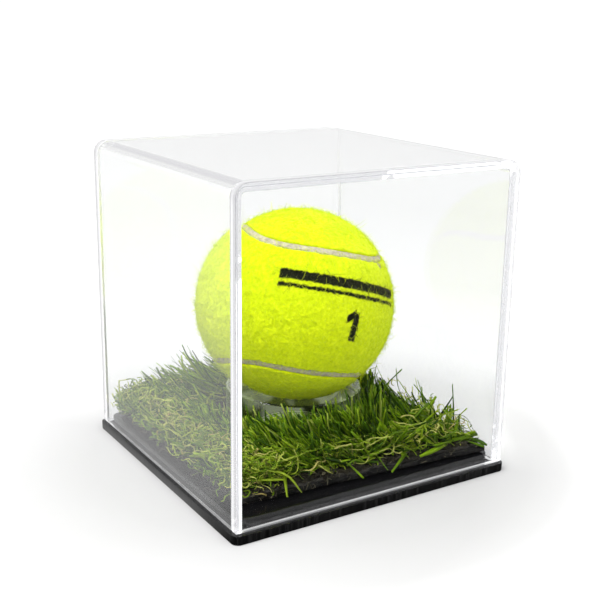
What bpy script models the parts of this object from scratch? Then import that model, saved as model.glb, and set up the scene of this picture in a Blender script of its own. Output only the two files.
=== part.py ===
"""Acrylic display cube: a tennis ball on a clear ring, in a square of artificial turf.

A black base plate carries a smaller plinth plate, and a clear cover drops over the plinth.
Units are metres and +Z is up. The origin is the middle of the base plate's underside,
and the cover's front panel faces -Y.
"""

import math

import bmesh
import bpy
from mathutils import Matrix, Vector

# Clearance kept between pieces that touch or are stuck together.
GAP = 0.0003

# Clear cover: one sheet folded into an upside-down U, closed by a front and a back panel.
SHEET = 0.003
COVER_SIDE = 0.105
COVER_TOP = 0.109
BEND_RADIUS = 0.0045
BEND_STEPS = 6

# Black base plate, a little wider than the cover, and the plinth that centres the cover.
BASE_SIDE = 0.1074
BASE_CORNER = 0.0025
PLINTH_SIDE = 0.098
PLINTH_CORNER = 0.003

# Artificial turf: thickness of each layer, from the plinth up.
TURF_WIDTH = 0.092
TURF_DEPTH = 0.090
TURF_CENTRE = (0.0005, 0.001)
TURF_CORNER = 0.002
TAPE_THICKNESS = 0.0004
LATEX_THICKNESS = 0.001
CLOTH_THICKNESS = 0.0006
THATCH_THICKNESS = 0.003
TURF_HOLE_RADIUS = 0.024

# Pile of grass: it narrows upwards and stands higher at the back than at the front.
PILE_FRONT_TOP = 0.0205
PILE_BACK_TOP = 0.0255
PILE_LEAN_IN = 0.0025
PILE_HOLE_RADIUS = 0.025

# Clear ring that holds the ball.
RING_OUTER_RADIUS = 0.023
RING_BORE_RADIUS = 0.016
RING_HEIGHT = 0.019
RING_CHAMFER = 0.0005
RING_STEPS = 48

# Tennis ball: two rubber half shells, two felt panels and the seam between the panels.
BALL_RADIUS = 0.0335
FELT_THICKNESS = 0.003
CORE_THICKNESS = 0.0035
SEAM_THICKNESS = 0.0015
SEAM_WIDTH = 0.002
# The seam line on a unit sphere: its distance from the poles, and its sideways swing.
SEAM_POLAR_ANGLE = 0.654
SEAM_SWING = 0.316
# How the ball lies in the ring: the front panel's pole turns left and up, then rolls.
BALL_YAW = math.radians(-13.4)
BALL_TILT = math.radians(-8.5)
BALL_ROLL = math.radians(-12.1)

CORE_SEGMENTS = 28
CORE_STEPS = 7
SEAM_STEPS = 96
FELT_RUNGS = SEAM_STEPS // 2
FELT_STEPS = 8
# A narrow first and last step on each rung keeps the felt's cut edges square to the ball.
FELT_MARGIN = 0.02

BASE_TOP = SHEET
COVER_BOTTOM = BASE_TOP + GAP
PLINTH_BOTTOM = BASE_TOP + GAP
PLINTH_TOP = PLINTH_BOTTOM + SHEET
TAPE_BOTTOM = PLINTH_TOP + GAP
LATEX_BOTTOM = TAPE_BOTTOM + TAPE_THICKNESS + GAP
CLOTH_BOTTOM = LATEX_BOTTOM + LATEX_THICKNESS + GAP
THATCH_BOTTOM = CLOTH_BOTTOM + CLOTH_THICKNESS + GAP
PILE_BOTTOM = THATCH_BOTTOM + THATCH_THICKNESS + GAP
RING_BOTTOM = PLINTH_TOP + GAP
RING_TOP = RING_BOTTOM + RING_HEIGHT
SEAT_RADIUS = RING_BORE_RADIUS + RING_CHAMFER
BALL_CENTRE = RING_TOP + math.sqrt((BALL_RADIUS + GAP) ** 2 - SEAT_RADIUS**2)
CORE_RADIUS = BALL_RADIUS - FELT_THICKNESS - GAP
SEAM_RADIUS = BALL_RADIUS - FELT_THICKNESS + SEAM_THICKNESS


def clear_scene():
    for item in list(bpy.data.objects):
        bpy.data.objects.remove(item)


def new_collection(name):
    collection = bpy.data.collections.new(name)
    bpy.context.scene.collection.children.link(collection)
    return collection


def new_material(name, colour, roughness, transmission=0.0):
    material = bpy.data.materials.new(name)
    material.use_nodes = True
    shader = material.node_tree.nodes["Principled BSDF"]
    shader.inputs["Base Color"].default_value = (*colour, 1.0)
    shader.inputs["Roughness"].default_value = roughness
    shader.inputs["Metallic"].default_value = 0.0
    shader.inputs["Transmission Weight"].default_value = transmission
    material.diffuse_color = (*colour, 1.0)
    return material


def add_object(name, shape, collection, material, height=0.0, parent=None):
    """Makes an object from a bmesh, with its origin on the upright axis at the given height."""
    mesh = bpy.data.meshes.new(name)
    shape.to_mesh(mesh)
    shape.free()
    piece = bpy.data.objects.new(name, mesh)
    collection.objects.link(piece)
    piece.location = (0.0, 0.0, height)
    piece.parent = parent
    if material is not None:
        mesh.materials.append(material)
    return piece


def smooth(piece, angle=30.0):
    piece.data.shade_smooth()
    piece.data.set_sharp_from_angle(angle=math.radians(angle))


def runs_along(edge, axis):
    direction = (edge.verts[1].co - edge.verts[0].co).normalized()
    return abs(direction[axis]) > 0.999


def block(size, corner=0.0, round_axis=2, keep=lambda middle: True, steps=4):
    """A box standing on its origin, with the chosen edges along one axis rounded."""
    shape = bmesh.new()
    bmesh.ops.create_cube(shape, size=1.0)
    bmesh.ops.scale(shape, vec=size, verts=shape.verts)
    bmesh.ops.translate(shape, vec=(0.0, 0.0, size[2] / 2), verts=shape.verts)
    if corner > 0.0:
        edges = [
            edge
            for edge in shape.edges
            if runs_along(edge, round_axis) and keep((edge.verts[0].co + edge.verts[1].co) / 2)
        ]
        bmesh.ops.bevel(
            shape,
            geom=edges,
            offset=corner,
            offset_type="OFFSET",
            segments=steps,
            profile=0.5,
            affect="EDGES",
        )
    return shape


def cut_round_hole(piece, radius, depth, cutters):
    """Cuts a round upright hole through a piece, on the object's own axis."""
    shape = bmesh.new()
    bmesh.ops.create_cone(
        shape,
        cap_ends=True,
        segments=40,
        radius1=radius,
        radius2=radius,
        depth=depth,
    )
    cutter = add_object(piece.name + "_hole", shape, cutters, None, piece.location.z)
    cutter.hide_render = True
    cutter.display_type = "WIRE"
    cut = piece.modifiers.new("hole", "BOOLEAN")
    cut.operation = "DIFFERENCE"
    cut.solver = "EXACT"
    cut.object = cutter


def add_turn(piece, steps):
    """Turns a section round the object's Z axis into a closed solid."""
    turn = piece.modifiers.new("turn", "SCREW")
    turn.angle = math.tau
    turn.steps = steps
    turn.render_steps = steps
    turn.use_merge_vertices = True
    turn.merge_threshold = 0.00001


def make_base(parts):
    black = new_material("black_acrylic_base", (0.006, 0.006, 0.007), 0.12)
    shape = block((BASE_SIDE, BASE_SIDE, SHEET), BASE_CORNER)
    smooth(add_object("base_plate", shape, parts, black))


def make_plinth(parts):
    black = new_material("black_acrylic_plinth", (0.008, 0.008, 0.009), 0.15)
    shape = block((PLINTH_SIDE, PLINTH_SIDE, SHEET), PLINTH_CORNER)
    smooth(add_object("plinth_plate", shape, parts, black, PLINTH_BOTTOM))


def fold_outline():
    """The outside of the folded sheet from the left foot, over the top, to the right foot."""
    half = COVER_SIDE / 2
    height = COVER_TOP - COVER_BOTTOM
    points = [Vector((-half, 0.0, 0.0))]
    for side in (-1, 1):
        centre = Vector((side * (half - BEND_RADIUS), 0.0, height - BEND_RADIUS))
        for step in range(BEND_STEPS + 1):
            turn = math.pi / 2 * step / BEND_STEPS
            angle = math.pi - turn if side < 0 else math.pi / 2 - turn
            points.append(
                centre + BEND_RADIUS * Vector((math.cos(angle), 0.0, math.sin(angle)))
            )
    points.append(Vector((half, 0.0, 0.0)))
    return points


def make_cover_wrap(parts):
    """Both side walls and the top, bent from a single sheet."""
    clear = new_material("clear_acrylic_wrap", (0.95, 0.97, 0.97), 0.02, 1.0)
    depth = COVER_SIDE - 2 * (SHEET + GAP)
    shape = bmesh.new()
    line = [shape.verts.new(point - Vector((0.0, depth / 2, 0.0))) for point in fold_outline()]
    edges = [shape.edges.new(pair) for pair in zip(line, line[1:])]
    swept = bmesh.ops.extrude_edge_only(shape, edges=edges)["geom"]
    moved = [item for item in swept if isinstance(item, bmesh.types.BMVert)]
    bmesh.ops.translate(shape, vec=(0.0, depth, 0.0), verts=moved)
    for face in shape.faces:
        outward = face.calc_center_median() - Vector((0.0, 0.0, COVER_TOP / 3))
        if face.normal.dot(outward) < 0.0:
            face.normal_flip()
    shape.normal_update()
    piece = add_object("cover_folded_wrap", shape, parts, clear, COVER_BOTTOM)
    shell = piece.modifiers.new("sheet", "SOLIDIFY")
    shell.thickness = SHEET
    shell.offset = -1.0
    shell.use_even_offset = True
    smooth(piece)


def make_cover_panel(name, side, parts):
    """A flat panel glued to the wrap's cut edges, its top corners rounded to match the folds."""
    clear = new_material("clear_acrylic_" + name, (0.95, 0.97, 0.97), 0.02, 1.0)
    height = COVER_TOP - COVER_BOTTOM
    shape = block(
        (COVER_SIDE, SHEET, height),
        BEND_RADIUS,
        round_axis=1,
        keep=lambda middle: middle.z > height / 2,
        steps=BEND_STEPS,
    )
    middle = side * (COVER_SIDE - SHEET) / 2
    bmesh.ops.translate(shape, vec=(0.0, middle, 0.0), verts=shape.verts)
    smooth(add_object(name, shape, parts, clear, COVER_BOTTOM))


def make_turf_layer(name, bottom, thickness, colour, parts, cutters):
    """One flat layer of the turf, with the ring's round hole through it."""
    finish = new_material(name + "_finish", colour, 0.9)
    shape = block((TURF_WIDTH, TURF_DEPTH, thickness), TURF_CORNER, steps=2)
    bmesh.ops.translate(shape, vec=(*TURF_CENTRE, 0.0), verts=shape.verts)
    piece = add_object(name, shape, parts, finish, bottom)
    cut_round_hole(piece, TURF_HOLE_RADIUS, 4 * thickness, cutters)


def make_grass_pile(parts, cutters):
    """The room that the grass blades fill, as one plain solid."""
    green = new_material("grass_green", (0.10, 0.24, 0.02), 0.7)
    shape = block((TURF_WIDTH, TURF_DEPTH, PILE_BACK_TOP - PILE_BOTTOM), TURF_CORNER, steps=2)
    for vert in shape.verts:
        if vert.co.z > 0.0:
            across = (TURF_WIDTH - 2 * PILE_LEAN_IN) / TURF_WIDTH
            along = (TURF_DEPTH - 2 * PILE_LEAN_IN) / TURF_DEPTH
            vert.co.x *= across
            vert.co.y *= along
            share = 0.5 + vert.co.y / (TURF_DEPTH - 2 * PILE_LEAN_IN)
            top = PILE_FRONT_TOP + (PILE_BACK_TOP - PILE_FRONT_TOP) * share
            vert.co.z = top - PILE_BOTTOM
    bmesh.ops.translate(shape, vec=(*TURF_CENTRE, 0.0), verts=shape.verts)
    piece = add_object("grass_pile", shape, parts, green, PILE_BOTTOM)
    cut_round_hole(piece, PILE_HOLE_RADIUS, 4 * (PILE_BACK_TOP - PILE_BOTTOM), cutters)


def make_turf(parts, cutters):
    tape = (0.62, 0.60, 0.54)
    latex = (0.018, 0.018, 0.018)
    cloth = (0.030, 0.029, 0.025)
    thatch = (0.16, 0.15, 0.06)
    make_turf_layer("turf_tape", TAPE_BOTTOM, TAPE_THICKNESS, tape, parts, cutters)
    make_turf_layer("turf_latex_coat", LATEX_BOTTOM, LATEX_THICKNESS, latex, parts, cutters)
    make_turf_layer("turf_backing_cloth", CLOTH_BOTTOM, CLOTH_THICKNESS, cloth, parts, cutters)
    make_turf_layer("curled_thatch", THATCH_BOTTOM, THATCH_THICKNESS, thatch, parts, cutters)
    make_grass_pile(parts, cutters)


def make_ball_ring(parts):
    """A thick-walled clear tube, turned from a section with small chamfers."""
    clear = new_material("clear_acrylic_ring", (0.93, 0.95, 0.94), 0.03, 1.0)
    outer, bore, cham = RING_OUTER_RADIUS, RING_BORE_RADIUS, RING_CHAMFER
    section = [
        (outer - cham, RING_HEIGHT),
        (outer, RING_HEIGHT - cham),
        (outer, cham),
        (outer - cham, 0.0),
        (bore + cham, 0.0),
        (bore, cham),
        (bore, RING_HEIGHT - cham),
        (bore + cham, RING_HEIGHT),
    ]
    shape = bmesh.new()
    points = [shape.verts.new((radius, 0.0, height)) for radius, height in section]
    for pair in zip(points, points[1:] + points[:1]):
        shape.edges.new(pair)
    add_turn(add_object("ball_ring", shape, parts, clear, RING_BOTTOM), RING_STEPS)


def ball_attitude():
    """Turns the ball's own axes: its +Z pole faces the front and its +X side is up."""
    facing_front = Matrix(((0, -1, 0), (0, 0, -1), (1, 0, 0))).to_4x4()
    roll = Matrix.Rotation(BALL_ROLL, 4, "Z")
    tilt = Matrix.Rotation(BALL_TILT, 4, "X")
    yaw = Matrix.Rotation(BALL_YAW, 4, "Z")
    return yaw @ tilt @ facing_front @ roll


def make_ball_centre(parts):
    centre = bpy.data.objects.new("ball_centre", None)
    centre.empty_display_size = 0.01
    parts.objects.link(centre)
    centre.matrix_world = Matrix.Translation((0.0, 0.0, BALL_CENTRE)) @ ball_attitude()
    return centre


def seam_point(turn):
    """A point of the seam line on the unit sphere, for turn from 0 to 4 pi."""
    polar = math.pi / 2 - (math.pi / 2 - SEAM_POLAR_ANGLE) * math.cos(turn)
    around = turn / 2 + SEAM_SWING * math.sin(2 * turn)
    return Vector(
        (
            math.sin(polar) * math.cos(around),
            math.sin(polar) * math.sin(around),
            math.cos(polar),
        )
    )


def beside_seam(turn, offset, radius):
    """A point at a distance from the seam line, towards the panel that holds the +Z pole."""
    step = 0.001
    point = seam_point(turn)
    along = seam_point(turn + step) - seam_point(turn - step)
    inward = point.cross(along).normalized()
    return (point * radius + inward * offset).normalized() * radius


def add_skin(name, shape, parts, material, thickness, parent):
    """Gives an open patch on a sphere its thickness, inwards."""
    bmesh.ops.recalc_face_normals(shape, faces=shape.faces)
    shape.normal_update()
    first = next(iter(shape.faces))
    if first.normal.dot(first.calc_center_median()) < 0.0:
        bmesh.ops.reverse_faces(shape, faces=shape.faces)
    piece = add_object(name, shape, parts, material, parent=parent)
    skin = piece.modifiers.new("thickness", "SOLIDIFY")
    skin.thickness = thickness
    skin.offset = -1.0
    smooth(piece, 50.0)


def make_felt_panel(name, other_side, parts, parent):
    """A dog-bone panel, lofted on rungs that cross it from seam to seam."""
    yellow = new_material(name + "_felt", (0.62, 0.78, 0.01), 0.95)
    inset = SEAM_WIDTH / 2 + GAP
    swap = Matrix.Rotation(math.pi, 4, Vector((1.0, 1.0, 0.0))) if other_side else Matrix()
    even = [step / FELT_STEPS for step in range(FELT_STEPS + 1)]
    shares = [0.0] + [FELT_MARGIN + (1 - 2 * FELT_MARGIN) * share for share in even] + [1.0]
    shape = bmesh.new()
    rungs = []
    for rung in range(FELT_RUNGS + 1):
        turn = -math.pi + math.tau * rung / FELT_RUNGS
        left = beside_seam(turn, inset, BALL_RADIUS)
        if rung in (0, FELT_RUNGS):
            rungs.append([shape.verts.new(swap @ left)] * len(shares))
            continue
        right = Vector((-left.x, left.y, left.z))
        arc = [left.slerp(right, share).normalized() * BALL_RADIUS for share in shares]
        rungs.append([shape.verts.new(swap @ point) for point in arc])
    for lower, upper in zip(rungs, rungs[1:]):
        for step in range(len(shares) - 1):
            corners = (lower[step], lower[step + 1], upper[step + 1], upper[step])
            shape.faces.new(tuple(dict.fromkeys(corners)))
    add_skin(name, shape, parts, yellow, FELT_THICKNESS, parent)


def make_seam(parts, parent):
    """The rubber line between the two felt panels."""
    grey = new_material("seam_rubber", (0.42, 0.40, 0.33), 0.8)
    shape = bmesh.new()
    rows = []
    for step in range(SEAM_STEPS):
        turn = 2 * math.tau * step / SEAM_STEPS
        edge = [beside_seam(turn, side * SEAM_WIDTH / 2, SEAM_RADIUS) for side in (-1, 1)]
        rows.append([shape.verts.new(point) for point in edge])
    for row, following in zip(rows, rows[1:] + rows[:1]):
        shape.faces.new((row[0], row[1], following[1], following[0]))
    add_skin("ball_seam", shape, parts, grey, SEAM_THICKNESS, parent)


def make_core_half(name, over, parts, parent):
    """One of the two rubber half shells that are cemented rim to rim, turned from its section."""
    rubber = new_material(name + "_rubber", (0.05, 0.05, 0.05), 0.8)
    arc = [math.pi / 2 * step / CORE_STEPS for step in range(CORE_STEPS + 1)]
    bore = CORE_RADIUS - CORE_THICKNESS
    outside = [(CORE_RADIUS * math.sin(angle), CORE_RADIUS * math.cos(angle)) for angle in arc]
    inside = [(bore * math.sin(angle), bore * math.cos(angle)) for angle in reversed(arc)]
    shape = bmesh.new()
    points = [shape.verts.new((across, 0.0, up + GAP / 2)) for across, up in outside + inside]
    for pair in zip(points, points[1:]):
        shape.edges.new(pair)
    piece = add_object(name, shape, parts, rubber, parent=parent)
    piece.rotation_euler = (math.pi if over else 0.0, 0.0, 0.0)
    add_turn(piece, CORE_SEGMENTS)


def make_ball(parts):
    centre = make_ball_centre(parts)
    make_core_half("ball_core_front_half", False, parts, centre)
    make_core_half("ball_core_rear_half", True, parts, centre)
    make_felt_panel("ball_felt_front", False, parts, centre)
    make_felt_panel("ball_felt_rear", True, parts, centre)
    make_seam(parts, centre)


def main():
    clear_scene()
    parts = new_collection("acrylic_display_cube")
    cutters = new_collection("cutters")
    make_base(parts)
    make_plinth(parts)
    make_turf(parts, cutters)
    make_ball_ring(parts)
    make_ball(parts)
    make_cover_wrap(parts)
    make_cover_panel("cover_front_panel", -1, parts)
    make_cover_panel("cover_back_panel", 1, parts)
    bpy.context.view_layer.update()


main()
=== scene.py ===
"""Looks of the acrylic display cube: clear cover, black base, turf, clear ring and ball.

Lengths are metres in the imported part's frame. The front panel faces -Y and +Z is up.
"""

import math

import bmesh
import bpy
import numpy as np
from mathutils import Matrix, Vector
from mathutils.kdtree import KDTree


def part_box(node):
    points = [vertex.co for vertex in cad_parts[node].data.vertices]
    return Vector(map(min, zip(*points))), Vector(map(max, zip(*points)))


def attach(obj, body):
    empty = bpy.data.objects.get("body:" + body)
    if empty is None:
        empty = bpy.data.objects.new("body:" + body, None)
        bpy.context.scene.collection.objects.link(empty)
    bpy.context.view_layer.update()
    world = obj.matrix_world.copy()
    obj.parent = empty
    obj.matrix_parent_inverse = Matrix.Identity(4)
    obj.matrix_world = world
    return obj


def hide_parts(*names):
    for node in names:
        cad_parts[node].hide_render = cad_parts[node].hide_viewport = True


MM = 0.001

# Camera: place, heading clockwise from +Y, tilt below the horizon, roll and lens in millimetres.
CAMERA_PLACE = (-0.1865, -0.2991, 0.1553)
CAMERA_HEADING = math.radians(32.18)
CAMERA_DIP = math.radians(15.72)
CAMERA_ROLL = math.radians(0.86)
CAMERA_LENS = 62.46

# Painted glow that stands in for the light a clear piece carries along between its faces; the ring's is
# green, a painted reflection of the grass round it.
PIPED_LIGHT = (0.74, 0.74, 0.76)
GRASS_LIGHT = (0.15, 0.20, 0.05)

# The white room: how bright it looks straight and mirrored, and its light on matt surfaces.
ROOM_SEEN, ROOM_MIRRORED = 1.05, 0.89
WORLD_FILL = (0.47, 1.4)
FILL_FROM = (0.80, -0.50, 0.30)
KEY_FROM = (-0.54, -0.19, 0.84)
KEY_POWER = 3.58

# Clear cover.
SHEET = 3.0 * MM
BEND_RADIUS = 4.5 * MM
BEND_STEPS = 20
EDGE_BREAK = 0.12 * MM

# Base and plinth.
BASE_CORNER = 2.5 * MM
PLINTH_CORNER = 3.0 * MM
PLATE_EDGE = 0.18 * MM
SAW_DEPTH = 0.016 * MM

# Turf outline in millimetres, corner by corner from the left front one, the seed of its ragged
# edge, its hole for the ring, the level the blades grow from, the direction the pile leans, and
# how far strands may reach: across, front to back, and down to the plinth.
TURF_CORNERS = ((-45.0, -41.0), (46.5, -46.0), (47.0, 46.0), (-46.0, 46.5))
TURF_SEED = 3
TURF_HOLE = 24.3 * MM
TURF_GROUND = 10.3 * MM
PILE_LEAN = (-0.80, 0.60)
STRAND_LIMITS = (48.9 * MM, 48.7 * MM)
STRAND_LOWEST = 6.6 * MM

# Loose blades: knots in millimetres, width in millimetres, and where on the green scale.
LOOSE_BLADES = (
    (((-25, -33, 17), (-29, -40, 12.5), (-32, -46.6, 8.6)), 1.5, 0.88),
    (((-10, -35, 15), (-6, -42, 12), (-3.5, -47.3, 8.5)), 1.0, 0.70),
    (((2, -36, 16), (5, -41.5, 13), (6, -47.6, 9.2)), 0.8, 0.45),
    (((26, -37, 14), (17, -43, 11.5), (7.5, -47.8, 8.2)), 1.5, 0.55),
    (((20, -34, 17), (12, -41, 14.5), (1, -44, 14.0)), 1.3, 0.62),
    (((43, -42, 12.5), (30, -45.5, 11.5), (20, -46.6, 10.6)), 1.6, 0.74),
    (((47.5, -44, 12.0), (36, -45.0, 12.4), (27, -45.6, 12.6)), 1.4, 0.55),
    (((37, -40, 13.0), (45, -46, 11.0), (48.3, -48.4, 9.2)), 1.6, 0.25),
    (((38, -42, 12.4), (44, -47, 10.2), (47.0, -48.4, 9.0)), 1.3, 0.40),
    (((-40, -36, 12), (-37, -39, 15.5), (-30, -42.5, 14.0), (-26, -45.5, 8.2)), 0.9, 0.93),
    (((-36, -34, 14), (-24, -38, 17), (-12, -36, 17.5)), 0.8, 0.95),
    (((-44, -37, 13), (-38, -41, 13.5), (-31, -43.5, 13)), 0.9, 0.90),
    (((-16, -25, 21), (-9, -32, 19), (-4, -38, 16)), 1.9, 0.84),
    (((-2, -30, 20), (1, -34, 21.5), (0.5, -31, 26)), 0.7, 0.86),
    (((6, -31, 14), (4, -31, 21), (1, -30.5, 25.5)), 0.9, 0.80),
    (((-17, -29, 14), (-19, -29, 21), (-24, -28, 27)), 0.8, 0.60),
    (((-9, -30, 14), (-9.5, -30, 20), (-9, -29.5, 25.5)), 0.7, 0.78),
    (((46, -33, 10), (45, -33.5, 19), (43.5, -34, 28)), 1.1, 0.35),
    (((46, -27, 10), (41, -25, 18), (35, -23, 26)), 0.6, 0.50),
    (((45, -18, 10), (38, -17, 19), (34, -15, 25.5)), 0.5, 0.92),
    (((46, -22, 10), (41, -21, 16), (38, -20, 27)), 0.5, 0.94),
    (((46.5, -5, 10), (43, -4, 17), (41.5, -4, 25.0)), 0.6, 0.55),
    (((46, 2, 10), (40, 3, 16), (37, 3.5, 23.0)), 0.5, 0.60),
    (((38, 0, 15), (41, -1, 19), (45.5, -2.5, 23.5)), 0.7, 0.40),
    (((46, -30, 10), (47, -34, 15), (48.3, -37, 19)), 0.7, 0.85),
    (((46.5, -28, 14), (48.3, -36, 15.5), (48.4, -41, 12)), 0.4, 0.30),
    (((45, -40, 11), (40, -38, 17), (37, -37, 21)), 0.9, 0.83),
)

# Ring and ball.
RING_OUTER = 23.0 * MM
RING_BORE = 16.0 * MM
RING_CHAMFER = 0.5 * MM
RING_OUT_OF_ROUND = 0.0012
BALL_RADIUS = 33.5 * MM
BALL_GAP = 0.3 * MM
BALL_YAW = math.radians(-13.4)
BALL_TILT = math.radians(-8.5)
BALL_ROLL = math.radians(-12.1)
SEAM_POLAR_ANGLE = 0.654
SEAM_SWING = 0.316

# Directions from the ball's centre to a notch worn in the felt at the upper seam, to the printed
# bar's ends and middle, and to the numeral.
NOTCH = Vector((0.55, -0.66, 0.50))
BAR_LEFT = Vector((-0.60, -0.616, 0.51))
BAR_MIDDLE = Vector((-0.166, -0.884, 0.437))
BAR_RIGHT = Vector((0.67, -0.728, 0.146))
NUMERAL_MIDDLE = Vector((0.013, -0.99, 0.01))
NUMERAL_UP = Vector((0.07, 0.0, 0.284))

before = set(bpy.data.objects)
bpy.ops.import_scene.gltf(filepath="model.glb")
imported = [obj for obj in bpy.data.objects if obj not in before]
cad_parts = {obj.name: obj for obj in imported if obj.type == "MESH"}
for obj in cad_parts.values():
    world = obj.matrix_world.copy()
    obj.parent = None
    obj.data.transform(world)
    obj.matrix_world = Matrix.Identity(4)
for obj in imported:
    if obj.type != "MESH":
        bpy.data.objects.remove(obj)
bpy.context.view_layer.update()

RING_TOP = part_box("ball_ring")[1].z
BALL_HEIGHT = RING_TOP + math.sqrt((BALL_RADIUS + BALL_GAP) ** 2 - (RING_BORE + RING_CHAMFER) ** 2)
BALL_CENTRE = np.array([0.0, 0.0, BALL_HEIGHT])


# ---------------------------------------------------------------- numbers and noise


def unit(vectors):
    return vectors / np.maximum(np.linalg.norm(vectors, axis=-1, keepdims=True), 1e-12)


def smoothstep(low, high, value):
    share = np.clip((value - low) / (high - low), 0.0, 1.0)
    return share * share * (3.0 - 2.0 * share)


def lattice_noise(points, cell, seed):
    """Smooth noise from -1 to 1 that changes over about one cell."""
    size = 32
    grid = np.random.default_rng(seed).random((size, size, size)) * 2.0 - 1.0
    scaled = np.asarray(points) / cell + 1000.5
    low = np.floor(scaled).astype(int)
    share = scaled - low
    share = share * share * (3.0 - 2.0 * share)
    total = 0.0
    for corner in np.ndindex(2, 2, 2):
        weight = np.prod(np.where(corner, share, 1.0 - share), axis=-1)
        at = (low + corner) % size
        total = total + weight * grid[at[..., 0], at[..., 1], at[..., 2]]
    return total


def rough_noise(points, cell, seed, octaves=3):
    total = 0.0
    for octave in range(octaves):
        total = total + lattice_noise(points, cell / 2**octave, seed + octave) / 2**octave
    return total


# ---------------------------------------------------------------- meshes


def make_mesh(name, points, face_groups, group_materials=None):
    """A smooth mesh object from points and arrays of faces, one array per corner count."""
    mesh = bpy.data.meshes.new(name)
    points = np.asarray(points, np.float32).reshape(-1, 3)
    groups = [np.asarray(group, np.int32) for group in face_groups]
    loops = np.concatenate([group.ravel() for group in groups])
    totals = np.concatenate([np.full(len(group), group.shape[1]) for group in groups])
    starts = np.concatenate([[0], np.cumsum(totals)[:-1]])
    mesh.vertices.add(len(points))
    mesh.vertices.foreach_set("co", points.ravel())
    mesh.loops.add(len(loops))
    mesh.loops.foreach_set("vertex_index", loops)
    mesh.polygons.add(len(totals))
    mesh.polygons.foreach_set("loop_start", starts.astype(np.int32))
    if group_materials is not None:
        slots = np.concatenate([np.full(len(g), m) for g, m in zip(groups, group_materials)])
        mesh.polygons.foreach_set("material_index", slots.astype(np.int32))
    mesh.polygons.foreach_set("use_smooth", np.full(len(totals), True))
    mesh.update(calc_edges=True)
    mesh.validate()
    return place_object(name, mesh)


def place_object(name, data):
    thing = bpy.data.objects.new(name, data)
    bpy.context.scene.collection.objects.link(thing)
    return thing


def add_value(piece, name, values):
    attribute = piece.data.attributes.new(name, "FLOAT", "POINT")
    attribute.data.foreach_set("value", np.asarray(values, np.float32).ravel())


def finish_piece(piece, materials, body, replaces=(), sharp_angle=None, casts_shadow=True):
    for material in materials if isinstance(materials, (list, tuple)) else [materials]:
        piece.data.materials.append(material)
    if sharp_angle is not None:
        piece.data.set_sharp_from_angle(angle=math.radians(sharp_angle))
    piece.visible_shadow = casts_shadow
    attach(piece, body)
    if replaces:
        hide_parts(*replaces)
    return piece


def flip_if_inside_out(piece):
    shape = bmesh.new()
    shape.from_mesh(piece.data)
    bmesh.ops.recalc_face_normals(shape, faces=shape.faces)
    if shape.calc_volume(signed=True) < 0.0:
        bmesh.ops.reverse_faces(shape, faces=shape.faces)
    shape.to_mesh(piece.data)
    shape.free()


def grid_faces(rows, columns, wrap_rows=False, wrap_columns=False):
    """Quads over a grid of points stored row by row."""
    row = np.arange(rows if wrap_rows else rows - 1)
    column = np.arange(columns if wrap_columns else columns - 1)
    row, column = np.meshgrid(row, column, indexing="ij")
    next_row, next_column = (row + 1) % rows, (column + 1) % columns
    corners = (row * columns + column, row * columns + next_column,
               next_row * columns + next_column, next_row * columns + column)
    return np.stack(corners, axis=-1).reshape(-1, 4)


def make_strands(name, lines, widths, thicknesses, facing, sides, values):
    """Closed strands of flattened section round many centre lines at once.

    lines is (strands, points, 3), widths and thicknesses are half sizes at each point, facing is
    the direction that the flat side looks to, and values holds one number a strand by name.
    """
    count, points = lines.shape[:2]
    along = unit(np.gradient(lines, axis=1))
    side = unit(np.cross(along, np.broadcast_to(facing, along.shape)))
    up = np.cross(along, side)
    turn = np.arange(sides) / sides * math.tau
    rings = (
        lines[:, :, None, :]
        + (np.cos(turn)[None, None, :, None] * side[:, :, None, :]) * widths[:, :, None, None]
        + (np.sin(turn)[None, None, :, None] * up[:, :, None, :]) * thicknesses[:, :, None, None]
    )
    quads = grid_faces(points, sides, wrap_columns=True)
    first = np.arange(sides)[::-1][None, :]
    last = (np.arange(sides) + (points - 1) * sides)[None, :]
    offset = (np.arange(count) * points * sides)[:, None, None]
    walls = (quads[None] + offset).reshape(-1, 4)
    caps = np.concatenate([first[None] + offset, last[None] + offset]).reshape(-1, sides)
    piece = make_mesh(name, rings, [walls, caps])
    for key, numbers in values.items():
        add_value(piece, key, np.repeat(numbers, points * sides))
    share = np.repeat(np.arange(points) / (points - 1), sides)
    add_value(piece, "along", np.tile(share, count))
    return piece


# ---------------------------------------------------------------- materials


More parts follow.
